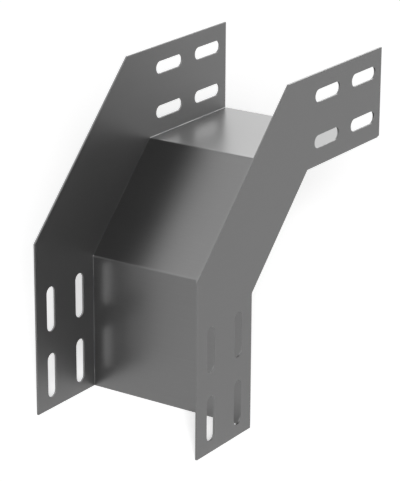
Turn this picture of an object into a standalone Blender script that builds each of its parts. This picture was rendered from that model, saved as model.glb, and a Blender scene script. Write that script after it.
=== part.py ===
"""Vertical bend for a trough cable tray: two flat side plates welded to a base sheet that is folded twice.

The cable run rises along the lower arm, goes over the incline and leaves along the level upper arm.
X runs across the tray, Y along the upper arm and Z up, in metres.
The origin is the middle of the base sheet's lower edge.
The base lies on the inside of the bend, and the tray is open on the outside of it.
"""

import math

import bpy
from mathutils import Matrix, Vector

COLLECTION_NAME = "vertical_cable_tray_bend"

# Tray section
INSIDE_WIDTH = 0.100
SIDE_HEIGHT = 0.050
SIDE_SHEET = 0.001
BASE_SHEET = 0.001

# Lengths of the base's three flats, measured on its cable side between the sharp fold lines
LOWER_ARM_LENGTH = 0.075
INCLINE_LENGTH = 0.075
UPPER_ARM_LENGTH = 0.075
FOLD_ANGLE = math.radians(45.0)
FOLD_INSIDE_RADIUS = 0.001

# Corners of the side plates, broken after cutting
PLATE_CORNER_RADIUS = 0.0003

# Coupling slots: rows and columns at each end of each side plate
SLOT_LENGTH = 0.025
SLOT_WIDTH = 0.007
SLOT_ROWS = 2
SLOT_COLUMNS = 2
SLOT_FIRST_ROW = 0.0125
SLOT_ROW_PITCH = 0.025
SLOT_FIRST_COLUMN = 0.01875
SLOT_COLUMN_PITCH = 0.0375

# Corner seams between the base and the side plates, closed by short weld beads
SEAM_GAP = 0.0003
STITCH_LENGTH = 0.016
STITCHES_PER_FLAT = 2
BEAD_CLEARANCE = 0.0001
BEAD_CROWN = 0.00012

# Segments along the round stretches
FOLD_SEGMENTS = 6
CORNER_SEGMENTS = 4
SLOT_END_SEGMENTS = 16
BEAD_FACE_SEGMENTS = 4

SHEET_COLOUR = (0.17, 0.17, 0.17, 1.0)
SHEET_ROUGHNESS = 0.32
WELD_COLOUR = (0.20, 0.195, 0.19, 1.0)
WELD_ROUGHNESS = 0.38


def clear_scene():
    for scene_object in list(bpy.data.objects):
        bpy.data.objects.remove(scene_object)


def make_collection(name):
    collection = bpy.data.collections.new(name)
    bpy.context.scene.collection.children.link(collection)
    return collection


def metal(name, colour, roughness):
    """A metal with one colour and one roughness."""
    material = bpy.data.materials.new(name)
    material.use_nodes = True
    shader = material.node_tree.nodes["Principled BSDF"]
    shader.inputs["Base Color"].default_value = colour
    shader.inputs["Metallic"].default_value = 1.0
    shader.inputs["Roughness"].default_value = roughness
    return material


def tray_directions():
    """Directions of the lower arm, the incline and the upper arm, seen from the side as (Y, Z)."""
    angles = (0.0, FOLD_ANGLE, 2.0 * FOLD_ANGLE)
    return [Vector((math.sin(angle), math.cos(angle))) for angle in angles]


def cable_side_normal(direction):
    """The normal of a flat that points to the cables."""
    return Vector((-direction.y, direction.x))


def tray_line(height):
    """Points (Y, Z) of the line that runs along the tray, `height` above the base's cable side.

    The base's middle plane starts at Y = 0, so its cable side starts half a sheet nearer the cables.
    A corner of a parallel line lies on the bisector of the two flats' normals.
    """
    directions = tray_directions()
    normals = [cable_side_normal(direction) for direction in directions]
    point = normals[0] * (BASE_SHEET / 2.0)
    line = [point + normals[0] * height]
    for index, length in enumerate((LOWER_ARM_LENGTH, INCLINE_LENGTH, UPPER_ARM_LENGTH)):
        point = point + directions[index] * length
        here = normals[index]
        following = normals[min(index + 1, 2)]
        line.append(point + (here + following) * (height / (1.0 + here.dot(following))))
    return line


def corner_arc(before, corner, after, radius, segments):
    """Points of the arc of this radius that touches both sides of a corner."""
    towards_before = (before - corner).normalized()
    towards_after = (after - corner).normalized()
    half_angle = towards_before.angle(towards_after) / 2.0
    tangent_length = radius / math.tan(half_angle)
    centre = corner + (towards_before + towards_after).normalized() * (radius / math.sin(half_angle))
    start = corner + towards_before * tangent_length - centre
    end = corner + towards_after * tangent_length - centre
    turn = -start.angle_signed(end)
    arc = []
    for step in range(segments + 1):
        arc.append(centre + Matrix.Rotation(turn * step / segments, 2) @ start)
    return arc


def rounded_outline(corners, radii, segments):
    """A closed outline whose corners are arcs, each with its own radius and number of segments."""
    outline = []
    for index, corner in enumerate(corners):
        if radii[index] == 0.0:
            outline.append(corner)
            continue
        before = corners[index - 1]
        after = corners[(index + 1) % len(corners)]
        outline += corner_arc(before, corner, after, radii[index], segments[index])
    return outline


def base_outline():
    """The folded base seen from the side: its cable side one way and its back the other way."""
    corners = tray_line(0.0) + tray_line(-BASE_SHEET)[::-1]
    outer = FOLD_INSIDE_RADIUS + BASE_SHEET
    inner = FOLD_INSIDE_RADIUS
    radii = [0.0, outer, outer, 0.0, 0.0, inner, inner, 0.0]
    return rounded_outline(corners, radii, [FOLD_SEGMENTS] * len(corners))


def side_plate_outline():
    """A side plate from the base's cable side, which it follows round both folds, up to the open rim."""
    corners = tray_line(0.0) + tray_line(SIDE_HEIGHT)[::-1]
    fold = FOLD_INSIDE_RADIUS + BASE_SHEET
    corner = PLATE_CORNER_RADIUS
    radii = [corner, fold, fold, corner, corner, corner, corner, corner]
    segments = [FOLD_SEGMENTS if radius == fold else CORNER_SEGMENTS for radius in radii]
    return rounded_outline(corners, radii, segments)


def slot_outline(centre, direction):
    """A slot with round ends, whose long way runs along `direction`."""
    radius = SLOT_WIDTH / 2.0
    reach = direction * (SLOT_LENGTH / 2.0 - radius)
    side = cable_side_normal(direction)
    outline = []
    for sign in (1.0, -1.0):
        for step in range(SLOT_END_SEGMENTS + 1):
            angle = math.pi * step / SLOT_END_SEGMENTS - math.pi / 2.0
            arc = direction * (math.cos(angle) * radius) + side * (math.sin(angle) * radius)
            outline.append(centre + (reach + arc) * sign)
    return outline


def slot_outlines():
    """The slots of one side plate, counted from the open end of each arm."""
    line = tray_line(0.0)
    lower, _, upper = tray_directions()
    arms = ((line[0], lower, cable_side_normal(lower)), (line[-1], -upper, cable_side_normal(upper)))
    outlines = []
    for end, inwards, upwards in arms:
        for column in range(SLOT_COLUMNS):
            for row in range(SLOT_ROWS):
                along = SLOT_FIRST_COLUMN + column * SLOT_COLUMN_PITCH
                height = SLOT_FIRST_ROW + row * SLOT_ROW_PITCH
                outlines.append(slot_outline(end + inwards * along + upwards * height, inwards))
    return outlines


def bead_section(side):
    """Section (X, height) of a weld bead in the corner between the base's edge and a side plate's edge.

    The height is measured above the base's cable side, so all of the bead lies at negative heights.
    Its face is a shallow arc from the plate's outer face to the base's back.
    """
    inner_x = INSIDE_WIDTH / 2.0 - SEAM_GAP + BEAD_CLEARANCE
    plate_toe = Vector((INSIDE_WIDTH / 2.0 + SIDE_SHEET, -BEAD_CLEARANCE))
    base_toe = Vector((inner_x, -BASE_SHEET))
    chord = base_toe - plate_toe
    outwards = Vector((-chord.y, chord.x)).normalized()
    section = [Vector((inner_x, -BEAD_CLEARANCE))]
    for step in range(BEAD_FACE_SEGMENTS + 1):
        share = step / BEAD_FACE_SEGMENTS
        crown = 4.0 * share * (1.0 - share) * BEAD_CROWN
        section.append(plate_toe + chord * share + outwards * crown)
    return [Vector((point.x * side, point.y)) for point in section]


def extruded(name, collection, outlines, depth, place, material):
    """A solid of flat outlines, where those inside the first are holes, extruded evenly both ways.

    `place` puts the outlines' own x, y and z into the world, with z along the extrusion.
    """
    curve = bpy.data.curves.new(name, "CURVE")
    curve.dimensions = "2D"
    curve.fill_mode = "BOTH"
    curve.extrude = depth / 2.0
    for outline in outlines:
        spline = curve.splines.new("POLY")
        spline.points.add(len(outline) - 1)
        for point, corner in zip(spline.points, outline):
            point.co = (corner.x, corner.y, 0.0, 1.0)
        spline.use_cyclic_u = True
    curve.materials.append(material)
    solid = bpy.data.objects.new(name, curve)
    solid.matrix_world = place
    collection.objects.link(solid)
    return solid


def across_tray(middle_x):
    """Places an outline drawn in (Y, Z), with its thickness along X."""
    return Matrix(((0.0, 0.0, 1.0, middle_x), (1.0, 0.0, 0.0, 0.0), (0.0, 1.0, 0.0, 0.0), (0.0, 0.0, 0.0, 1.0)))


def along_seam(middle, direction):
    """Places an outline drawn in (X, height), with its length along a flat of the base."""
    normal = cable_side_normal(direction)
    return Matrix((
        (1.0, 0.0, 0.0, 0.0),
        (0.0, normal.x, -normal.y, middle.x),
        (0.0, normal.y, normal.x, middle.y),
        (0.0, 0.0, 0.0, 1.0),
    ))


def make_base(collection, material):
    width = INSIDE_WIDTH - 2.0 * SEAM_GAP
    extruded("base_sheet", collection, [base_outline()], width, across_tray(0.0), material)


def make_side_plates(collection, material):
    outlines = [side_plate_outline()] + slot_outlines()
    for name, side in (("left_side_plate", -1.0), ("right_side_plate", 1.0)):
        middle_x = side * (INSIDE_WIDTH + SIDE_SHEET) / 2.0
        extruded(name, collection, outlines, SIDE_SHEET, across_tray(middle_x), material)


def make_weld_beads(collection, material):
    """Short beads along both corner seams, each centred in its share of a flat."""
    line = tray_line(0.0)
    directions = tray_directions()
    for side_name, side in (("left", -1.0), ("right", 1.0)):
        section = bead_section(side)
        for flat, flat_name in enumerate(("lower", "incline", "upper")):
            for stitch in range(STITCHES_PER_FLAT):
                share = (stitch + 0.5) / STITCHES_PER_FLAT
                place = along_seam(line[flat].lerp(line[flat + 1], share), directions[flat])
                name = f"weld_{side_name}_{flat_name}_{stitch + 1}"
                extruded(name, collection, [section], STITCH_LENGTH, place, material)


def main():
    clear_scene()
    collection = make_collection(COLLECTION_NAME)
    sheet_steel = metal("sheet_steel", SHEET_COLOUR, SHEET_ROUGHNESS)
    weld_metal = metal("weld_metal", WELD_COLOUR, WELD_ROUGHNESS)
    make_base(collection, sheet_steel)
    make_side_plates(collection, sheet_steel)
    make_weld_beads(collection, weld_metal)


main()
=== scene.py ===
"""Looks of a vertical bend for a trough cable tray.

Sheets with broken edges and rippled weld beads stand for the CAD solids and keep their form.
They are satin steel and stand in a plain white studio.
X runs across the tray, Y along the level arm and Z up, in metres.
"""

import math

import bmesh
import bpy
import numpy as np
from mathutils import Matrix, Vector
from mathutils.geometry import delaunay_2d_cdt


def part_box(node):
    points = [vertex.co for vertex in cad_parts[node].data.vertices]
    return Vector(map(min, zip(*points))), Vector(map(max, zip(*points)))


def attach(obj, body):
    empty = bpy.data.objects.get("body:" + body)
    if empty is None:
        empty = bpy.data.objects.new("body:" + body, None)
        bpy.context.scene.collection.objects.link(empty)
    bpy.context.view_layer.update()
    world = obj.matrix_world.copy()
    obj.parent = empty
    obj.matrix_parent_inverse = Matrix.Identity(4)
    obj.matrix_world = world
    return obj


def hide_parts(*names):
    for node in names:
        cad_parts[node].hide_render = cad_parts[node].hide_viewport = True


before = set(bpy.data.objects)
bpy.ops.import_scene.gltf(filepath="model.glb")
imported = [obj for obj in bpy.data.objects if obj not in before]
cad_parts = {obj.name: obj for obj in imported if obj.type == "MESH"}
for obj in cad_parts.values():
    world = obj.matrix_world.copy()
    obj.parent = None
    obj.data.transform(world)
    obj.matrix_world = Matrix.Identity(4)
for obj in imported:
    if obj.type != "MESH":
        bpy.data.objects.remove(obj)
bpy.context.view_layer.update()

bl_info = {
    "name": "Vertical Cable Tray Bend",
    "version": (1, 0, 0),
    "blender": (4, 5, 0),
    "location": "View3D > Sidebar > Tray Bend",
    "description": "Makes the sheets, weld beads and finish of a vertical cable tray bend in a plain studio",
    "category": "Object",
}

FOLD_ANGLE = math.radians(45.0)
FLATS = ("lower", "incline", "upper")
SIDES = (("left", -1.0), ("right", 1.0))
MM = 0.001

# Bright walls of the room that reflections show: bearing from +X towards +Y, rise and brightness
ROOM_WALLS = (
    (60.0, 38.0, 6.3),
    (100.0, 38.0, 9.0),
    (160.0, 6.0, 3.1),
    (180.0, 38.0, 2.8),
    (200.0, 6.0, 1.3),
    (220.0, 38.0, 1.8),
    (236.0, 14.0, 1.4),
    (320.0, 6.0, 9.8),
    (335.0, 50.0, 0.4),
    (0.0, 6.0, 0.9),
)
WALL_NARROWNESS = 12.0

# Half the side of the floor, and its gap under the tray
FLOOR_REACH = 12.0
FLOOR_GAP = 0.3 * MM

# Level at which the floor shows where nothing shades it, just above white
FLOOR_LEVEL = 1.03

# Length of a cell along a straight run, cells across the base, and steps round a fold and a broken edge
CELL_LENGTH = 2.5 * MM
CELLS_ACROSS = 18
FOLD_STEPS = 12
EDGE_STEPS = 5

# Angle between two faces from which their edge is sharp
SHARP_FROM = math.radians(50.0)

# Distances from a rim, a slot and a seam of the mesh lines that carry wear and heat
RIM_LINES = np.array((4.5, 1.4, 0.5, 0.16)) * MM
SLOT_LINES = np.array((1.2, 0.5, 0.16)) * MM
SEAM_LINES = np.array((0.6, 1.4, 4.5)) * MM

# Reach of the fillet into a side plate, and the least radius of the base's corners
FILLET_REACH = 0.04 * MM
LEAST_CORNER = 0.02 * MM

# Distances over which weld heat fades to half and over which an edge is rubbed bright
HEAT_REACH = 2.0 * MM
WEAR_REACH = 1.2 * MM

# Share of the weld heat that shows on the inner face of a sheet
HEAT_THROUGH = 0.3

# Step along a weld bead, length of its rounded ends, and how far they close
BEAD_STEP = 0.13 * MM
BEAD_END = 0.9 * MM
END_CLOSED = 0.985

# Reach of a weld bead's toes on the sheets, their lift, their wander and the lengths of its waves
TOE_REACH = 0.10 * MM
TOE_LIFT = 0.015 * MM
TOE_WANDER = 0.03 * MM
WANDER_WAVES = (1.9 * MM, 0.83 * MM)

# Depth and rise of a weld bead's root from the seam, height of its crown and bow of its ripples
ROOT_DEPTH = 0.2 * MM
ROOT_RISE = 0.05 * MM
BEAD_CROWN = 0.12 * MM
RIPPLE_BOW = 0.45 * MM

# Stretch of the rolling lines, which run across the tray on the base and along the level arm on the plates
BASE_LINES = (30.0, 1400.0, 1400.0)
SIDE_LINES = (1400.0, 30.0, 1400.0)

# Most by which a finished piece may miss the box of its CAD solid
BOX_TOLERANCE = 0.5 * MM


def read_sizes():
    """Sizes of the tray from the boxes of its CAD solids, to the micrometre.

    The base's middle plane is Y = 0 along the lower arm, so its near face lies half a sheet in front of it.
    The two stitches of a flat are centred at its quarter points, half a flat apart.
    """
    plate_low, plate_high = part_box("right_side_plate")
    base_low, base_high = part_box("base_sheet")
    middles = {}
    for name in ("lower_1", "lower_2", "upper_1", "upper_2"):
        low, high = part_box("weld_right_" + name)
        middles[name] = (low + high) / 2.0
    stitch_low, stitch_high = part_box("weld_right_lower_1")
    lower_arm = 2.0 * (middles["lower_2"].z - middles["lower_1"].z)
    sizes = {
        "inside_width": 2.0 * plate_low.x,
        "side_height": base_low.y - plate_low.y,
        "side_sheet": plate_high.x - plate_low.x,
        "base_sheet": -2.0 * base_low.y,
        "lower_arm": lower_arm,
        "incline": (base_high.z - lower_arm) / math.cos(FOLD_ANGLE),
        "upper_arm": 2.0 * (middles["upper_2"].y - middles["upper_1"].y),
        "stitch_length": stitch_high.z - stitch_low.z,
    }
    return {name: round(value, 6) for name, value in sizes.items()}


SIZES = read_sizes()


def length_property(name, description, default):
    """A length in metres, never below 0."""
    return bpy.props.FloatProperty(
        name=name, description=description, default=default, min=0.0, precision=5, unit="LENGTH"
    )


def share_property(name, description, default):
    """A share from 0 to 1."""
    return bpy.props.FloatProperty(
        name=name, description=description, default=default, min=0.0, max=1.0, subtype="FACTOR"
    )


def colour_property(name, description, default):
    """A colour with its alpha."""
    return bpy.props.FloatVectorProperty(
        name=name, description=description, default=default, size=4, min=0.0, max=1.0, subtype="COLOR"
    )


class TrayBendSizes(bpy.types.PropertyGroup):
    """Sizes of the sheets, their slots and the weld stitches."""

    inside_width: length_property("Inside Width", "Width between the side plates", SIZES["inside_width"])
    side_height: length_property("Side Height", "Height of the plates above the base", SIZES["side_height"])
    side_sheet: length_property("Side Sheet", "Thickness of the side plates", SIZES["side_sheet"])
    base_sheet: length_property("Base Sheet", "Thickness of the folded base", SIZES["base_sheet"])
    lower_arm: length_property("Lower Arm", "Length of the base's upright flat", SIZES["lower_arm"])
    incline: length_property("Incline", "Length of the base's leaning flat", SIZES["incline"])
    upper_arm: length_property("Upper Arm", "Length of the base's level flat", SIZES["upper_arm"])
    fold_radius: length_property("Fold Radius", "Radius on the inner side of each fold", 0.001)
    plate_corner: length_property("Plate Corner", "Radius of the side plates' corners", 0.0003)
    edge_break: length_property("Edge Break", "Radius left by deburring on every cut edge", 0.00005)
    slot_length: length_property("Slot Length", "Length of a coupling slot over its round ends", 0.025)
    slot_width: length_property("Slot Width", "Width of a coupling slot", 0.007)
    first_row: length_property("First Row", "Height of the lower row of slots above the base", 0.0125)
    row_pitch: length_property("Row Pitch", "Distance between the rows of slots", 0.025)
    first_column: length_property("First Column", "Distance of the first slots from an end", 0.01875)
    column_pitch: length_property("Column Pitch", "Distance between the columns of slots", 0.0375)
    seam_lap: length_property("Seam Lap", "Reach of the base's edges under the side plates", 0.00019)
    seam_fillet: length_property("Seam Fillet", "Radius of the fillet between base and plate", 0.00022)
    stitch_length: length_property("Stitch Length", "Length of one weld bead", SIZES["stitch_length"])
    ripple_pitch: length_property("Ripple Pitch", "Distance between the ripples of a weld bead", 0.00105)
    ripple_height: length_property("Ripple Height", "Height of a weld bead's ripples", 0.00006)


class TrayBendFinish(bpy.types.PropertyGroup):
    """Colours and gloss of the sheets and of the welds."""

    sheet_colour: colour_property("Sheet Colour", "Colour of the satin sheet steel", (0.17, 0.17, 0.17, 1.0))
    side_roughness: share_property("Side Roughness", "Roughness of the side plates' satin finish", 0.46)
    base_roughness: share_property("Base Roughness", "Roughness of the base sheet's satin finish", 0.31)
    worn_colour: colour_property("Worn Edge Colour", "Colour of a bright edge", (0.19, 0.19, 0.19, 1.0))
    cut_roughness: share_property("Cut Roughness", "Roughness of the sheared edges", 0.42)
    weld_colour: colour_property("Weld Colour", "Colour of the brushed weld metal", (0.20, 0.195, 0.19, 1.0))
    weld_roughness: share_property("Weld Roughness", "Roughness of the brushed weld metal", 0.38)


class TrayBendStudio(bpy.types.PropertyGroup):
    """Floor, light and camera."""

    floor_colour: colour_property("Floor Colour", "Colour of the pale floor", (0.90, 0.90, 0.90, 1.0))
    fill_light: bpy.props.FloatProperty(
        name="Fill Light", description="Brightness of the soft light from all round", default=0.10, min=0.0
    )
    key_light: bpy.props.FloatProperty(
        name="Key Light", description="Strength of the soft lamp that casts the shadow", default=4.0, min=0.0
    )
    key_turn: bpy.props.FloatProperty(
        name="Key Turn", description="Bearing of the lamp from the front towards the right side",
        default=math.radians(36.0), subtype="ANGLE",
    )
    key_rise: bpy.props.FloatProperty(
        name="Key Rise", description="Height of the lamp above the horizon",
        default=math.radians(19.0), subtype="ANGLE",
    )
    key_softness: bpy.props.FloatProperty(
        name="Key Softness", description="Angle that the lamp covers",
        default=math.radians(12.0), subtype="ANGLE",
    )
    lens: bpy.props.FloatProperty(
        name="Lens", description="Focal length for a sensor 36 mm long",
        default=167.62, subtype="DISTANCE_CAMERA",
    )
    camera_place: bpy.props.FloatVectorProperty(
        name="Camera Place", description="Where the camera stands",
        default=(0.6287, -0.9098, 0.47595), unit="LENGTH",
    )
    camera_view: bpy.props.FloatVectorProperty(
        name="Camera View", description="Direction in which the camera looks",
        default=(-0.52636, 0.78482, -0.32712),
    )
    camera_side: bpy.props.FloatVectorProperty(
        name="Camera Side", description="Direction to the right in the picture",
        default=(0.82964, 0.55828, 0.00446),
    )


def flat_directions():
    """Directions (Y, Z) of the three flats: (sin t, cos t), with t the turn after 0, 1 and 2 folds."""
    turned = np.arange(3) * FOLD_ANGLE
    return np.stack((np.sin(turned), np.cos(turned)), axis=1)


def cable_side(directions):
    """Normals (Y, Z) that point to the cables: each direction turned a quarter to the left."""
    return np.stack((-directions[:, 1], directions[:, 0]), axis=1)


def tray_line(sizes, height):
    """The four corner points (Y, Z) of the line along the tray at this height above the base.

    At height 0 each flat adds its length along its direction. A raised corner is the corner plus
    the height times (m + n) / (1 + m . n), with m and n the normals of the two flats that meet there.
    """
    directions = flat_directions()
    normals = cable_side(directions)
    lengths = np.array((sizes.lower_arm, sizes.incline, sizes.upper_arm))
    steps = np.vstack((np.zeros(2), np.cumsum(directions * lengths[:, None], axis=0)))
    before, after = normals[[0, 0, 1, 2]], normals[[0, 1, 2, 2]]
    lift = (before + after) / (1.0 + (before * after).sum(axis=1))[:, None]
    return normals[0] * (sizes.base_sheet / 2.0) + steps + lift * height


def turned(vectors, angles):
    """Each vector (Y, Z) turned by its angles: the plane rotation, for whole arrays."""
    cosine, sine = np.cos(angles), np.sin(angles)
    across, along = vectors[..., 0:1], vectors[..., 1:2]
    return np.stack((cosine * across - sine * along, sine * across + cosine * along), axis=-1)


def rounded_loop(corners, radii, inset, counts, arc_steps=8, least=0.25 * MM):
    """Closed loop (Y, Z) round an outline whose corners are arcs, moved into the sheet by the inset.

    A moved corner is the corner plus the inset times (m + n) / (1 + m . n), with m and n the inward normals
    of its two edges. An outer corner's arc shrinks by the inset and an inner corner's arc grows by it.
    Straight runs are divided evenly, and every inset gives the same number of points.
    """
    edges = np.roll(corners, -1, axis=0) - corners
    edges /= np.linalg.norm(edges, axis=1)[:, None]
    following = np.roll(corners, -1, axis=0)
    way = np.sign((corners[:, 0] * following[:, 1] - corners[:, 1] * following[:, 0]).sum())
    inward = way * np.stack((-edges[:, 1], edges[:, 0]), axis=1)
    before = np.roll(inward, 1, axis=0)
    arriving = np.roll(edges, 1, axis=0)
    turn = np.arctan2(
        arriving[:, 0] * edges[:, 1] - arriving[:, 1] * edges[:, 0], (arriving * edges).sum(axis=1)
    )
    outer = turn * way > 0.0
    bisector = (before + inward) / (1.0 + (before * inward).sum(axis=1))[:, None]
    radius = np.where(outer, np.maximum(radii - inset, np.minimum(radii, least)), radii + inset)
    bulge = np.where(outer, 1.0, -1.0)
    centres = corners + bisector * (inset + bulge * radius)[:, None]
    angles = turn[:, None] * np.linspace(0.0, 1.0, arc_steps + 1)
    arcs = centres[:, None] - (bulge * radius)[:, None, None] * turned(before, angles)
    starts, ends = arcs[:, -1], np.roll(arcs[:, 0], -1, axis=0)
    stretches = []
    for corner, count in enumerate(counts):
        shares = (np.arange(1, count) / count)[:, None]
        stretches += [arcs[corner], starts[corner] * (1.0 - shares) + ends[corner] * shares]
    return np.concatenate(stretches)


def slot_loop(sizes, centre, direction, inset, arc_steps=20, run_steps=3):
    """Closed loop (Y, Z) round a slot with round ends, moved into the sheet by the inset.

    Each half circle has half the slot's width plus the inset for its radius.
    """
    radius = sizes.slot_width / 2.0
    reach = sizes.slot_length / 2.0 - radius
    across = cable_side(direction[None])[0]
    angles = np.linspace(-math.pi / 2.0, math.pi / 2.0, arc_steps + 1)
    along = reach + (radius + inset) * np.cos(angles)
    aside = (radius + inset) * np.sin(angles)
    run = np.linspace(reach, -reach, run_steps + 1)[1:-1]
    along = np.concatenate((along, run, -along, -run))
    wall = np.full(len(run), radius + inset)
    aside = np.concatenate((aside, wall, -aside, -wall))
    return centre + along[:, None] * direction + aside[:, None] * across


def rim_section(sheet, edge_break, rings):
    """Section (inset, height) over the rim of a sheet, from the innermost ring on one face to the other's.

    The rings lie on the flat face. The broken edge is a quarter circle: its inset is the radius times
    (1 - sin a) and its height half the sheet less the radius times (1 - cos a), with a from 0 to 90 degrees.
    """
    half = sheet / 2.0
    bend = np.linspace(0.0, math.pi / 2.0, EDGE_STEPS + 1)
    rounded = np.stack((edge_break * (1.0 - np.sin(bend)), half - edge_break * (1.0 - np.cos(bend))), axis=1)
    flat = np.stack((rings, np.full(len(rings), half)), axis=1)
    face = np.vstack((flat, rounded))
    return np.vstack((face, face[::-1] * (1.0, -1.0)))


def grid_faces(rows, columns, first=0):
    """Quads of a grid whose rows are closed loops, as indices from the first vertex on."""
    row, column = np.meshgrid(np.arange(rows - 1), np.arange(columns), indexing="ij")
    here = first + row * columns + column
    beside = first + row * columns + (column + 1) % columns
    return np.stack((here, beside, beside + columns, here + columns), axis=-1).reshape(-1, 4)


def flat_triangles(rings):
    """Triangles between a flat outline and the holes in it, as indices into the rings laid end to end.

    A triangle with all its corners on one hole lies inside that hole, because the holes are convex.
    """
    flat = np.concatenate(rings) / MM
    lengths = [len(ring) for ring in rings]
    ring_of = np.repeat(np.arange(len(rings)), lengths)
    starts = np.cumsum([0] + lengths[:-1])
    edges = []
    for start, length in zip(starts.tolist(), lengths):
        here = np.arange(length)
        edges += (start + np.stack((here, (here + 1) % length), axis=1)).tolist()
    corners, _, triangles, _, _, _ = delaunay_2d_cdt([Vector(point) for point in flat], edges, [], 1, 1e-7)
    if len(corners) != len(flat):
        raise RuntimeError("The outline and the holes meet")
    triangles = np.array(triangles)
    of_corner = ring_of[triangles]
    in_hole = (of_corner[:, 0] > 0) & (of_corner == of_corner[:, :1]).all(axis=1)
    return triangles[~in_hole]


def put_piece(name, node, points, faces, material, shares, sharp=None):
    """A mesh object with outward faces that stands for a CAD node, with its named shares at its vertices."""
    mesh = bpy.data.meshes.new(name)
    mesh.from_pydata(points.tolist(), [], faces)
    shell = bmesh.new()
    shell.from_mesh(mesh)
    bmesh.ops.recalc_face_normals(shell, faces=shell.faces)
    open_edges = sum(not edge.is_manifold for edge in shell.edges)
    shell.to_mesh(mesh)
    shell.free()
    if open_edges:
        raise RuntimeError(f"{name} has {open_edges} open edges")
    mesh.shade_smooth()
    if sharp is not None:
        mesh.set_sharp_from_angle(angle=sharp)
    for label, values in shares.items():
        attribute = mesh.attributes.new(label, "FLOAT", "POINT")
        attribute.data.foreach_set("value", np.ascontiguousarray(values, np.float32))
    mesh.materials.append(material)
    piece = bpy.data.objects.new(name, mesh)
    bpy.context.scene.collection.objects.link(piece)
    low, high = (np.array(corner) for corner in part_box(node))
    apart = max(np.abs(points.min(axis=0) - low).max(), np.abs(points.max(axis=0) - high).max())
    if apart > BOX_TOLERANCE:
        raise RuntimeError(f"{name} misses the box of {node} by {apart / MM:.2f} mm")
    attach(piece, "root")
    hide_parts(node)
    return piece


def weld_heat(sizes, points):
    """Share of weld heat at each point: 1 over 1 plus the square of the distance over the heat's reach.

    The distance is taken to the nearest stitch's line.
    """
    line = tray_line(sizes, 0.0)
    directions = flat_directions()
    seam = np.abs(points[:, 0]) - sizes.inside_width / 2.0
    nearest = np.full(len(points), np.inf)
    for flat in range(3):
        length = np.linalg.norm(line[flat + 1] - line[flat])
        offset = points[:, 1:] - line[flat]
        along = offset @ directions[flat]
        away = offset @ cable_side(directions)[flat]
        for quarter in (0.25, 0.75):
            past = np.maximum(np.abs(along - quarter * length) - sizes.stitch_length / 2.0, 0.0)
            nearest = np.minimum(nearest, np.sqrt(seam**2 + away**2 + past**2))
    return 1.0 / (1.0 + (nearest / HEAT_REACH) ** 2)


def rubbed(inset):
    """Share of rubbed-bright edge: the square of what is left of the wear's reach, as a share of it."""
    return np.clip(1.0 - inset / WEAR_REACH, 0.0, 1.0) ** 2


def make_side_plate(sizes, side_name, side, material):
    """A flat plate: the rim section is carried round the outline and every slot, and the faces are filled."""
    seam, rim = tray_line(sizes, 0.0), tray_line(sizes, sizes.side_height)
    corners = np.vstack((seam, rim[::-1]))
    fold = sizes.fold_radius + sizes.base_sheet
    radii = np.full(8, sizes.plate_corner)
    radii[1:3] = fold
    lengths = np.linalg.norm(np.roll(corners, -1, axis=0) - corners, axis=1)
    counts = np.maximum(1, np.round(lengths / CELL_LENGTH)).astype(int)
    outline_section = rim_section(sizes.side_sheet, sizes.edge_break, RIM_LINES)
    slot_section = rim_section(sizes.side_sheet, sizes.edge_break, SLOT_LINES)
    loops = [(outline_section, [rounded_loop(corners, radii, inset, counts) for inset, _ in outline_section])]
    lower, _, upper = flat_directions()
    for end, inwards in ((seam[0], lower), (seam[3], -upper)):
        upwards = cable_side(lower[None])[0] if inwards is lower else cable_side(upper[None])[0]
        for column in range(2):
            for row in range(2):
                along = sizes.first_column + column * sizes.column_pitch
                height = sizes.first_row + row * sizes.row_pitch
                centre = end + inwards * along + upwards * height
                rings = [slot_loop(sizes, centre, inwards, inset) for inset, _ in slot_section]
                loops.append((slot_section, rings))
    middle = side * (sizes.inside_width + sizes.side_sheet) / 2.0
    points, faces, insets, heights = [], [], [], []
    face_rings, back_rings, first = [], [], 0
    for section, rings in loops:
        rows, columns = len(section), len(rings[0])
        flat = np.concatenate(rings)
        depth = np.repeat(section[:, 1], columns)
        points.append(np.column_stack((middle + side * depth, flat)))
        insets.append(np.repeat(section[:, 0], columns))
        heights.append(depth)
        faces += grid_faces(rows, columns, first).tolist()
        face_rings.append(np.arange(first, first + columns))
        back_rings.append(np.arange(first + (rows - 1) * columns, first + rows * columns))
        first += rows * columns
    points = np.concatenate(points)
    triangles = flat_triangles([points[ring, 1:] for ring in face_rings])
    faces += np.concatenate(face_rings)[triangles].tolist()
    faces += np.concatenate(back_rings)[triangles[:, ::-1]].tolist()
    insets, heights = np.concatenate(insets), np.concatenate(heights)
    outside = np.where(heights > 0.0, 1.0, HEAT_THROUGH)
    shares = {
        "rubbed": rubbed(insets),
        "cut": np.clip(1.0 - insets / sizes.edge_break, 0.0, 1.0),
        "heat": weld_heat(sizes, points) * outside,
    }
    node = f"{side_name}_side_plate"
    return put_piece(f"{side_name}_plate_sheet", node, points, faces, material, shares)


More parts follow.
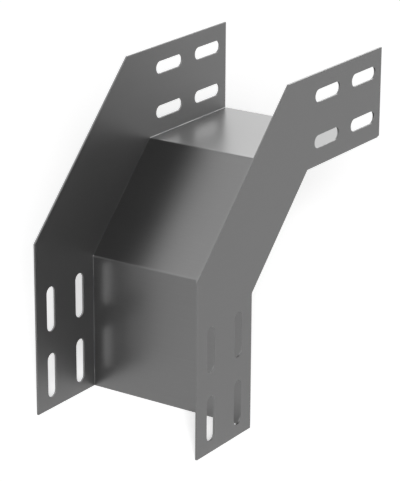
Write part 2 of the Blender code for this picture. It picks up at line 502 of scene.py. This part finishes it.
def base_stations(sizes):
    """Stations along the base: points (Y, Z) of its cable side, turning angles and end insets.

    On a flat the point moves straight and the angle stays. On a fold the point is the arc's centre plus
    the radius times the normal, whose angle turns evenly. At both ends the inset of the section
    is the edge's radius times (1 - cos b) where the distance to the end is that radius times (1 - sin b).
    """
    line, directions = tray_line(sizes, 0.0), flat_directions()
    normals = cable_side(directions)
    radius = sizes.fold_radius + sizes.base_sheet
    tangent = radius * math.tan(FOLD_ANGLE / 2.0)
    bend = np.linspace(math.pi / 2.0, 0.0, EDGE_STEPS + 1)
    ends = np.concatenate((sizes.edge_break * (1.0 - np.sin(bend)), RIM_LINES[::-1]))
    end_insets = np.concatenate((sizes.edge_break * (1.0 - np.cos(bend)), np.zeros(len(RIM_LINES))))
    past_ends = 2.0 * ends[-1] - ends[-2]
    points, angles, insets = [], [], []
    for flat in range(3):
        length = np.linalg.norm(line[flat + 1] - line[flat])
        low = tangent if flat else past_ends
        high = length - (tangent if flat < 2 else past_ends)
        run = np.linspace(low, high, max(2, round((high - low) / CELL_LENGTH)) + 1)
        inset = np.zeros(len(run))
        if flat == 0:
            run, inset = np.concatenate((ends, run)), np.concatenate((end_insets, inset))
        if flat == 2:
            run = np.concatenate((run, length - ends[::-1]))
            inset = np.concatenate((inset, end_insets[::-1]))
        points.append(line[flat] + run[:, None] * directions[flat])
        angles.append(np.full(len(run), flat * FOLD_ANGLE))
        insets.append(inset)
        if flat < 2:
            both = normals[flat] + normals[flat + 1]
            centre = line[flat + 1] - both * (radius / (1.0 + normals[flat] @ normals[flat + 1]))
            turning = (flat + np.arange(1, FOLD_STEPS) / FOLD_STEPS) * FOLD_ANGLE
            points.append(centre + radius * np.stack((-np.cos(turning), np.sin(turning)), axis=1))
            angles.append(turning)
            insets.append(np.zeros(len(turning)))
    return np.concatenate(points), np.concatenate(angles), np.concatenate(insets)


def make_base(sizes, material):
    """The folded base: a section with broken edges is carried along the stations of the base's cable side.

    The section is a loop (X, depth), with the depth measured from the cable side. Its underside is scaled
    to the width less twice the inset, and its corners are quarter circles. Against the side plates the
    cable side rises in a fillet: its X is the wall less r (1 - sin a) and its rise r (1 - cos a), with a
    from 0 to 90 degrees, and its back lies just inside the plate.
    """
    line, angles, insets = base_stations(sizes)
    half = sizes.inside_width / 2.0 + sizes.seam_lap
    near = half - SEAM_LINES
    inner = np.linspace(-near[-1], near[-1], CELLS_ACROSS + 1)[1:-1]
    run = np.concatenate((-near, inner, near[::-1]))
    quarter = np.linspace(0.0, math.pi / 2.0, EDGE_STEPS + 1)
    inset = insets[:, None]
    radius = np.maximum(sizes.edge_break - inset, LEAST_CORNER)
    right = half - inset - radius
    wall = sizes.inside_width / 2.0
    fillet = np.append(wall - sizes.seam_fillet * (1.0 - np.sin(quarter)), np.full(2, wall + FILLET_REACH))
    rise = np.append(sizes.seam_fillet * (1.0 - np.cos(quarter)), (sizes.seam_fillet, 0.0))
    topside = np.concatenate((-fillet[::-1], run, fillet))
    topside = np.broadcast_to(topside, (len(insets), len(topside)))
    top = inset - np.concatenate((rise[::-1], np.zeros(len(run)), rise))
    underside = run[::-1] * (half - inset) / half
    bottom = np.broadcast_to(sizes.base_sheet - inset, underside.shape)
    outwards, inwards = radius * np.sin(quarter), radius * np.cos(quarter)
    starting, ending = inset + radius - inwards, inset + radius - outwards
    row_across = (topside, right + outwards, right + inwards, underside, -right - outwards, -right - inwards)
    row_depths = (top, starting, sizes.base_sheet - ending, bottom, sizes.base_sheet - starting, ending)
    across = np.concatenate(row_across, axis=1)
    depth = np.concatenate(row_depths, axis=1)
    normals = np.stack((-np.cos(angles), np.sin(angles)), axis=1)
    sides = line[:, None] - normals[:, None] * depth[..., None]
    points = np.concatenate((across[..., None], sides), axis=-1).reshape(-1, 3)
    rows, columns = across.shape
    faces = grid_faces(rows, columns).tolist()
    faces.append(list(range(columns)))
    faces.append(list(range((rows - 1) * columns, rows * columns)))
    length = np.linalg.norm(np.diff(line, axis=0), axis=1)
    along = np.concatenate((np.zeros(1), np.cumsum(length)))[:, None]
    from_end = np.minimum(along, along[-1] - along)
    from_side = half - np.abs(across)
    from_rim = np.minimum(np.broadcast_to(from_end, across.shape), from_side)
    middle = np.minimum(depth, sizes.base_sheet - depth) > 0.5 * sizes.edge_break
    outside = np.where(depth > sizes.base_sheet / 2.0, 1.0, HEAT_THROUGH).ravel()
    shares = {
        "rubbed": rubbed(from_rim).ravel(),
        "cut": (middle & (from_rim < sizes.edge_break)).astype(float).ravel(),
        "heat": weld_heat(sizes, points) * outside,
    }
    return put_piece(
        "base_folded_sheet", "base_sheet", points, faces, material, shares, sharp=SHARP_FROM
    )


def make_bead(sizes, side_name, side, flat, stitch, material):
    """A weld bead: its section is carried along the seam, shrunk towards both ends, with bowed ripples.

    The face bulges by the crown times 4 u (1 - u), with u from 0 at the plate's toe to 1 at the base's toe.
    A ripple adds its height times the root of 4 u (1 - u) times the cosine of the way along, which a bow
    of 4 u (1 - u) moves on. The ends shrink section and ripples by the square root of 1 - e squared, with
    e from 0 to nearly 1 over the last stretch. The toes wander as the sum of two sines.
    """
    line, directions = tray_line(sizes, 0.0), flat_directions()
    direction, normal = directions[flat], cable_side(directions)[flat]
    middle = line[flat] + (line[flat + 1] - line[flat]) * (0.25 if stitch == 1 else 0.75)
    half = sizes.stitch_length / 2.0
    seed = 1.7 * flat + 2.9 * stitch + (0.8 if side > 0.0 else 0.0)
    along = np.linspace(-half, half, int(sizes.stitch_length / BEAD_STEP) + 1)
    end = np.clip((np.abs(along) - half + BEAD_END) / BEAD_END, 0.0, END_CLOSED)
    shrunk = np.sqrt(1.0 - end**2)
    share = np.linspace(0.0, 1.0, 11)
    long_wave, short_wave = WANDER_WAVES
    wander = TOE_WANDER * (np.sin(along / long_wave + seed) + np.sin(along / short_wave + 2.0 * seed))
    plate_face = np.full(len(along), sizes.inside_width / 2.0 + sizes.side_sheet + TOE_LIFT)
    base_back = np.full(len(along), -sizes.base_sheet - TOE_LIFT)
    root = np.array((sizes.inside_width / 2.0 - ROOT_DEPTH, ROOT_RISE))
    plate_toe = np.stack((plate_face, TOE_REACH + wander), axis=1)
    base_toe = np.stack((root[0] - TOE_REACH + wander, base_back), axis=1)
    chord = base_toe - plate_toe
    outwards = np.stack((-chord[:, 1], chord[:, 0]), axis=1)
    outwards /= -np.linalg.norm(outwards, axis=1)[:, None]
    bow = 4.0 * share * (1.0 - share)
    phase = 2.0 * math.pi * (along[:, None] - RIPPLE_BOW * bow) / sizes.ripple_pitch + seed
    lift = BEAD_CROWN * bow + sizes.ripple_height * np.sqrt(bow) * np.cos(phase) * shrunk[:, None]
    face = plate_toe[:, None] + chord[:, None] * share[:, None] + outwards[:, None] * lift[..., None]
    backs = np.broadcast_to(root, (len(along), 1, 2))
    section = np.concatenate((face, backs), axis=1)
    section = root + (section - root) * shrunk[:, None, None]
    rows, columns = section.shape[:2]
    place = middle + along[:, None, None] * direction + section[..., 1:] * normal
    points = np.concatenate((side * section[..., :1], place), axis=-1).reshape(-1, 3)
    faces = grid_faces(rows, columns).tolist()
    faces.append(list(range(columns)))
    faces.append(list(range((rows - 1) * columns, rows * columns)))
    crest = np.zeros((rows, columns))
    crest[:, :-1] = 0.5 + 0.5 * np.cos(phase)
    toes = np.ones((rows, columns))
    toes[:, :-1] = 1.0 - bow
    name = f"{side_name}_{FLATS[flat]}_{stitch}"
    shares = {"crest": crest.ravel(), "toe": toes.ravel()}
    return put_piece(
        f"bead_{name}", f"weld_{name}", points, faces, material, shares, sharp=SHARP_FROM
    )


def new_group(name, inputs, outputs):
    """A shader node group with named sockets, given as name and socket type."""
    group = bpy.data.node_groups.new(name, "ShaderNodeTree")
    for in_out, sockets in (("INPUT", inputs), ("OUTPUT", outputs)):
        for label, kind in sockets:
            group.interface.new_socket(name=label, in_out=in_out, socket_type="NodeSocket" + kind)
    given = group.nodes.new("NodeGroupInput")
    made = group.nodes.new("NodeGroupOutput")
    return group, given, made


def math_node(tree, operation, first, second=None, third=None, clamp=False):
    """A Math node fed with sockets or plain numbers, whose value socket is returned."""
    node = tree.nodes.new("ShaderNodeMath")
    node.operation = operation
    node.use_clamp = clamp
    for socket, value in zip(node.inputs, (first, second, third)):
        feed(tree, socket, value)
    return node.outputs[0]


def feed(tree, socket, value):
    """Links a socket to another one, or gives it a plain value."""
    if value is None:
        return
    if isinstance(value, bpy.types.NodeSocket):
        tree.links.new(value, socket)
    else:
        socket.default_value = value


def noise_node(tree, place, scale, detail, roughness):
    """A three-dimensional Noise Texture whose value, about 0.5 on average, is returned."""
    node = tree.nodes.new("ShaderNodeTexNoise")
    feed(tree, node.inputs["Vector"], place)
    feed(tree, node.inputs["Scale"], scale)
    node.inputs["Detail"].default_value = detail
    node.inputs["Roughness"].default_value = roughness
    return node.outputs["Fac"]


def varied(tree, level, effects):
    """The level plus, for each effect, its strength times how far its noise lies from the average of 0.5."""
    level = math_node(tree, "SUBTRACT", level, sum(strength for _, strength in effects) / 2.0)
    for noise, strength in effects:
        level = math_node(tree, "MULTIPLY_ADD", noise, strength, level)
    return level


def mixed_colour(tree, share, first, second):
    """A Mix node for colours, whose result socket is returned."""
    node = tree.nodes.new("ShaderNodeMix")
    node.data_type = "RGBA"
    feed(tree, node.inputs[0], share)
    feed(tree, node.inputs[6], first)
    feed(tree, node.inputs[7], second)
    return node.outputs[2]


def satin_grain_group():
    """Satin sheet finish: fine grain, faint rolling lines and soft haze, as colour, roughness and height."""
    group, given, made = new_group(
        "satin_grain",
        [("Place", "Vector"), ("Stretch", "Vector"), ("Colour", "Color"), ("Roughness", "Float")],
        [("Colour", "Color"), ("Roughness", "Float"), ("Height", "Float")],
    )
    place = given.outputs["Place"]
    stretched = group.nodes.new("ShaderNodeVectorMath")
    stretched.operation = "MULTIPLY"
    feed(group, stretched.inputs[0], place)
    feed(group, stretched.inputs[1], given.outputs["Stretch"])
    grain = noise_node(group, place, scale=2200.0, detail=2.0, roughness=0.6)
    lines = noise_node(group, stretched.outputs[0], scale=1.0, detail=3.0, roughness=0.55)
    haze = noise_node(group, place, scale=26.0, detail=3.0, roughness=0.5)
    roughness = varied(group, given.outputs["Roughness"], ((haze, 0.06), (lines, 0.05), (grain, 0.05)))
    tone = varied(group, 1.0, ((haze, 0.06), (lines, 0.08), (grain, 0.14)))
    shade = group.nodes.new("ShaderNodeVectorMath")
    shade.operation = "SCALE"
    feed(group, shade.inputs[0], given.outputs["Colour"])
    feed(group, shade.inputs["Scale"], tone)
    height = math_node(group, "MULTIPLY", grain, 0.7)
    height = math_node(group, "MULTIPLY_ADD", lines, 0.3, height)
    feed(group, made.inputs["Colour"], shade.outputs[0])
    feed(group, made.inputs["Roughness"], roughness)
    feed(group, made.inputs["Height"], height)
    return group


def edge_wear_group():
    """Breaks up the share of rubbed edge with noise, so that the bright line varies along an edge."""
    group, given, made = new_group(
        "edge_wear", [("Place", "Vector"), ("Rubbed", "Float"), ("Strength", "Float")], [("Mask", "Float")]
    )
    patches = noise_node(group, given.outputs["Place"], scale=420.0, detail=3.0, roughness=0.6)
    broken = varied(group, 0.5, ((patches, 1.3),))
    mask = math_node(group, "MULTIPLY", given.outputs["Rubbed"], broken)
    mask = math_node(group, "MULTIPLY", mask, given.outputs["Strength"], clamp=True)
    feed(group, made.inputs["Mask"], mask)
    return group


def heat_tint_group():
    """Colours left by weld heat, from straw to brown and blue towards the bead, with their mask."""
    group, given, made = new_group(
        "heat_tint", [("Place", "Vector"), ("Heat", "Float")], [("Colour", "Color"), ("Mask", "Float")]
    )
    patches = noise_node(group, given.outputs["Place"], scale=240.0, detail=2.0, roughness=0.5)
    uneven = varied(group, 1.0, ((patches, 0.5),))
    heat = math_node(group, "MULTIPLY", given.outputs["Heat"], uneven, clamp=True)
    ramp = group.nodes.new("ShaderNodeValToRGB")
    feed(group, ramp.inputs[0], heat)
    stops = ramp.color_ramp.elements
    stops[0].position, stops[0].color = 0.0, (0.18, 0.175, 0.16, 1.0)
    stops[1].position, stops[1].color = 1.0, (0.10, 0.10, 0.105, 1.0)
    for position, colour in (
        (0.25, (0.22, 0.19, 0.13, 1.0)), (0.45, (0.16, 0.12, 0.11, 1.0)), (0.65, (0.10, 0.11, 0.15, 1.0))
    ):
        stops.new(position).color = colour
    mask = math_node(group, "SMOOTH_MIN", math_node(group, "MULTIPLY", heat, 1.1), 0.8, 0.2)
    feed(group, made.inputs["Colour"], ramp.outputs[0])
    feed(group, made.inputs["Mask"], mask)
    return group


def use_group(tree, group, **values):
    """Places a node group in a material with its own values."""
    node = tree.nodes.new("ShaderNodeGroup")
    node.node_tree = group
    for label, value in values.items():
        feed(tree, node.inputs[label.replace("_", " ")], value)
    return node


def vertex_share(tree, name):
    """A share that the mesh holds at its vertices, as a value socket."""
    node = tree.nodes.new("ShaderNodeAttribute")
    node.attribute_name = name
    return node.outputs["Fac"]


def metal_shader(name, relief, distance, tree_maker):
    """A material for bare metal, whose colour, roughness and height come from a function."""
    material = bpy.data.materials.new(name)
    material.use_nodes = True
    tree = material.node_tree
    shader = tree.nodes["Principled BSDF"]
    shader.inputs["Metallic"].default_value = 1.0
    place = tree.nodes.new("ShaderNodeTexCoord").outputs["Object"]
    colour, roughness, height = tree_maker(tree, place)
    bump = tree.nodes.new("ShaderNodeBump")
    bump.inputs["Strength"].default_value = relief
    bump.inputs["Distance"].default_value = distance
    feed(tree, bump.inputs["Height"], height)
    feed(tree, shader.inputs["Base Color"], colour)
    feed(tree, shader.inputs["Roughness"], roughness)
    feed(tree, shader.inputs["Normal"], bump.outputs["Normal"])
    return material


def group_named(name, maker):
    """The node group of this name, made on first use."""
    return bpy.data.node_groups.get(name) or maker()


def sheet_steel(finish, name, stretch, roughness):
    """Satin sheet steel: grain and haze, rubbed edges, sheared walls and heat tint beside the stitches."""

    def tree_maker(tree, place):
        colour = tuple(finish.sheet_colour)
        satin = use_group(
            tree, group_named("satin_grain", satin_grain_group),
            Place=place, Stretch=stretch, Colour=colour, Roughness=roughness,
        )
        wear = use_group(
            tree, group_named("edge_wear", edge_wear_group),
            Place=place, Rubbed=vertex_share(tree, "rubbed"), Strength=0.9,
        )
        tint = use_group(
            tree, group_named("heat_tint", heat_tint_group), Place=place, Heat=vertex_share(tree, "heat")
        )
        cut = vertex_share(tree, "cut")
        shown = mixed_colour(tree, wear.outputs["Mask"], satin.outputs["Colour"], tuple(finish.worn_colour))
        shown = mixed_colour(tree, tint.outputs["Mask"], shown, tint.outputs["Colour"])
        rougher = math_node(tree, "SUBTRACT", finish.cut_roughness, satin.outputs["Roughness"])
        uneven = math_node(tree, "MULTIPLY_ADD", rougher, cut, satin.outputs["Roughness"])
        shear = noise_node(tree, place, scale=5200.0, detail=2.0, roughness=0.6)
        torn = math_node(tree, "MULTIPLY", shear, cut)
        height = math_node(tree, "MULTIPLY_ADD", torn, 3.0, satin.outputs["Height"])
        return shown, uneven, height

    return metal_shader(name, 0.35, 0.01 * MM, tree_maker)


def weld_metal(finish):
    """Brushed weld metal: bright crests, darker toes and a trace of straw and blue between the ripples."""

    def tree_maker(tree, place):
        satin = use_group(
            tree, group_named("satin_grain", satin_grain_group),
            Place=place, Stretch=(900.0, 900.0, 900.0), Colour=tuple(finish.weld_colour),
            Roughness=finish.weld_roughness,
        )
        crest, toe = vertex_share(tree, "crest"), vertex_share(tree, "toe")
        heat = math_node(tree, "MULTIPLY_ADD", toe, 0.55, 0.10)
        tint = use_group(tree, group_named("heat_tint", heat_tint_group), Place=place, Heat=heat)
        shown = mixed_colour(tree, tint.outputs["Mask"], satin.outputs["Colour"], tint.outputs["Colour"])
        bright = math_node(tree, "MULTIPLY", crest, 0.5)
        shown = mixed_colour(tree, bright, shown, (0.30, 0.295, 0.285, 1.0))
        roughness = math_node(tree, "MULTIPLY_ADD", crest, -0.08, satin.outputs["Roughness"])
        return shown, roughness, satin.outputs["Height"]

    return metal_shader("weld_metal", 0.40, 0.02 * MM, tree_maker)


def light_path_share(tree, *names):
    """1 for the named kinds of ray and 0 for the others."""
    node = tree.nodes.new("ShaderNodeLightPath")
    share = node.outputs[names[0]]
    for name in names[1:]:
        share = math_node(tree, "MAXIMUM", share, node.outputs[name])
    return share


def bearing_vector(bearing, rise):
    """Unit vector (cos b cos r, sin b cos r, sin r) for a bearing b from +X towards +Y and a rise r."""
    return Vector((math.cos(bearing) * math.cos(rise), math.sin(bearing) * math.cos(rise), math.sin(rise)))


def make_floor(studio):
    """A plain pale floor, at the tray's lower end, that stays lit evenly as far as the view goes.

    To the rays that show it, its own white adds what its lit colour lacks of a level just above 1,
    so that a shadow takes only the lit share away. An upward face gets the fill plus the key times
    the sine of its rise over pi.
    """
    corners = np.array(((-1.0, -1.0, 0.0), (1.0, -1.0, 0.0), (1.0, 1.0, 0.0), (-1.0, 1.0, 0.0))) * FLOOR_REACH
    corners[:, 2] = -FLOOR_GAP
    mesh = bpy.data.meshes.new("studio_floor")
    mesh.from_pydata(corners.tolist(), [], [[0, 1, 2, 3]])
    floor = bpy.data.objects.new("studio_floor", mesh)
    bpy.context.scene.collection.objects.link(floor)
    material = bpy.data.materials.new("studio_floor")
    material.use_nodes = True
    material.cycles.emission_sampling = "NONE"
    tree = material.node_tree
    shader = tree.nodes["Principled BSDF"]
    shader.inputs["Roughness"].default_value = 1.0
    shader.inputs["Specular IOR Level"].default_value = 0.0
    shader.inputs["Emission Color"].default_value = (1.0, 1.0, 1.0, 1.0)
    shader.inputs["Base Color"].default_value = tuple(studio.floor_colour)
    lit = studio.fill_light + studio.key_light * math.sin(studio.key_rise) / math.pi
    white = FLOOR_LEVEL - lit * studio.floor_colour[0]
    shown = light_path_share(tree, "Is Camera Ray", "Is Glossy Ray", "Is Transmission Ray")
    feed(tree, shader.inputs["Emission Strength"], math_node(tree, "MULTIPLY", shown, white))
    mesh.materials.append(material)


def make_world(studio):
    """A soft even light from all round, and a room with bright walls that only reflections show.

    The camera sees plain white where the floor ends. Each wall adds its brightness times
    the cosine of the angle to its middle, raised to the narrowness.
    """
    world = bpy.data.worlds.new("studio_room")
    world.use_nodes = True
    world.cycles.sampling_method = "NONE"
    bpy.context.scene.world = world
    tree = world.node_tree
    light = tree.nodes["Background"]
    light.inputs["Color"].default_value = (1.0, 1.0, 1.0, 1.0)
    light.inputs["Strength"].default_value = studio.fill_light
    direction = tree.nodes.new("ShaderNodeTexCoord").outputs["Generated"]
    brightness = 0.0
    for bearing, rise, strength in ROOM_WALLS:
        towards = tree.nodes.new("ShaderNodeVectorMath")
        towards.operation = "DOT_PRODUCT"
        feed(tree, towards.inputs[0], direction)
        feed(tree, towards.inputs[1], tuple(bearing_vector(math.radians(bearing), math.radians(rise))))
        near = math_node(tree, "MAXIMUM", towards.outputs["Value"], 0.0)
        near = math_node(tree, "POWER", near, WALL_NARROWNESS)
        brightness = math_node(tree, "MULTIPLY_ADD", near, strength, brightness)
    room = tree.nodes.new("ShaderNodeBackground")
    feed(tree, room.inputs["Strength"], brightness)
    white = tree.nodes.new("ShaderNodeBackground")
    white.inputs["Color"].default_value = (1.0, 1.0, 1.0, 1.0)
    white.inputs["Strength"].default_value = 1.0
    seen = tree.nodes.new("ShaderNodeMixShader")
    feed(tree, seen.inputs[0], light_path_share(tree, "Is Camera Ray"))
    feed(tree, seen.inputs[1], room.outputs[0])
    feed(tree, seen.inputs[2], white.outputs[0])
    chosen = tree.nodes.new("ShaderNodeMixShader")
    showing = light_path_share(tree, "Is Camera Ray", "Is Glossy Ray", "Is Transmission Ray")
    feed(tree, chosen.inputs[0], showing)
    feed(tree, chosen.inputs[1], light.outputs[0])
    feed(tree, chosen.inputs[2], seen.outputs[0])
    feed(tree, tree.nodes["World Output"].inputs["Surface"], chosen.outputs[0])


def make_key_lamp(studio):
    """A soft lamp from the front right, near the camera's bearing, whose shadow falls behind the tray."""
    lamp = bpy.data.lights.new("key_lamp", "SUN")
    lamp.energy = studio.key_light
    lamp.angle = studio.key_softness
    key = bpy.data.objects.new("key_lamp", lamp)
    towards = bearing_vector(studio.key_turn - math.pi / 2.0, studio.key_rise)
    key.rotation_mode = "QUATERNION"
    key.rotation_quaternion = towards.to_track_quat("Z", "Y")
    key.location = towards * 2.0
    key.visible_glossy = False
    bpy.context.scene.collection.objects.link(key)


def make_camera(studio):
    """The camera, with the picture's right as its X, its up as its Y and the view as its minus Z."""
    data = bpy.data.cameras.new("studio_camera")
    data.lens = studio.lens
    data.sensor_width = 36.0
    data.clip_start, data.clip_end = 0.05, 60.0
    view = Vector(studio.camera_view).normalized()
    right = Vector(studio.camera_side)
    right = (right - view * right.dot(view)).normalized()
    up = right.cross(view)
    camera = bpy.data.objects.new("studio_camera", data)
    axes = Matrix((right, up, -view)).transposed()
    camera.matrix_world = Matrix.Translation(studio.camera_place) @ axes.to_4x4()
    bpy.context.scene.collection.objects.link(camera)
    bpy.context.scene.camera = camera


class TRAYBEND_OT_base(bpy.types.Operator):
    """Make the folded base sheet"""

    bl_idname = "tray_bend.make_base"
    bl_label = "Make Base Sheet"

    def execute(self, context):
        bend = context.scene.tray_bend
        finish = bend.finish
        material = sheet_steel(finish, "satin_steel_base", BASE_LINES, finish.base_roughness)
        make_base(bend.sizes, material)
        return {"FINISHED"}


class TRAYBEND_OT_side_plates(bpy.types.Operator):
    """Make both slotted side plates"""

    bl_idname = "tray_bend.make_side_plates"
    bl_label = "Make Side Plates"

    def execute(self, context):
        bend = context.scene.tray_bend
        finish = bend.finish
        material = sheet_steel(finish, "satin_steel_sides", SIDE_LINES, finish.side_roughness)
        for side_name, side in SIDES:
            make_side_plate(bend.sizes, side_name, side, material)
        return {"FINISHED"}


class TRAYBEND_OT_weld_beads(bpy.types.Operator):
    """Make the short weld beads along both seams"""

    bl_idname = "tray_bend.make_weld_beads"
    bl_label = "Make Weld Beads"

    def execute(self, context):
        bend = context.scene.tray_bend
        material = weld_metal(bend.finish)
        for side_name, side in SIDES:
            for flat in range(3):
                for stitch in (1, 2):
                    make_bead(bend.sizes, side_name, side, flat, stitch, material)
        return {"FINISHED"}


class TRAYBEND_OT_studio(bpy.types.Operator):
    """Make the floor, the light and the camera"""

    bl_idname = "tray_bend.make_studio"
    bl_label = "Make Studio"

    def execute(self, context):
        studio = context.scene.tray_bend.studio
        make_camera(studio)
        make_floor(studio)
        make_world(studio)
        make_key_lamp(studio)
        context.scene.view_settings.view_transform = "Standard"
        return {"FINISHED"}


class TrayBend(bpy.types.PropertyGroup):
    """All values of the tray bend."""

    sizes: bpy.props.PointerProperty(name="Sizes", description="Sizes of the tray bend", type=TrayBendSizes)
    finish: bpy.props.PointerProperty(name="Finish", description="Finish of the metal", type=TrayBendFinish)
    studio: bpy.props.PointerProperty(name="Studio", description="Floor, light, camera", type=TrayBendStudio)


class TRAYBEND_PT_panel(bpy.types.Panel):
    """Tray bend panel in the sidebar"""

    bl_label = "Tray Bend"
    bl_idname = "TRAYBEND_PT_panel"
    bl_space_type = "VIEW_3D"
    bl_region_type = "UI"
    bl_category = "Tray Bend"

    def draw(self, context):
        bend = context.scene.tray_bend
        for group, operators in (
            (bend.sizes, (TRAYBEND_OT_base, TRAYBEND_OT_side_plates, TRAYBEND_OT_weld_beads)),
            (bend.finish, ()),
            (bend.studio, (TRAYBEND_OT_studio,)),
        ):
            box = self.layout.box()
            for name in group.__annotations__:
                box.prop(group, name)
            for operator in operators:
                box.operator(operator.bl_idname)


CLASSES = (
    TrayBendSizes, TrayBendFinish, TrayBendStudio, TrayBend,
    TRAYBEND_OT_base, TRAYBEND_OT_side_plates, TRAYBEND_OT_weld_beads, TRAYBEND_OT_studio, TRAYBEND_PT_panel,
)


def register():
    """Registers the classes and gives every scene its own values of the tray bend."""
    for cls in CLASSES:
        bpy.utils.register_class(cls)
    bpy.types.Scene.tray_bend = bpy.props.PointerProperty(type=TrayBend)


def unregister():
    """Takes the values and the classes away again."""
    del bpy.types.Scene.tray_bend
    for cls in reversed(CLASSES):
        bpy.utils.unregister_class(cls)


def main():
    """Registers the classes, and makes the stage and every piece."""
    register()
    bpy.ops.tray_bend.make_studio()
    bpy.ops.tray_bend.make_base()
    bpy.ops.tray_bend.make_side_plates()
    bpy.ops.tray_bend.make_weld_beads()


if __name__ == "__main__":
    main()
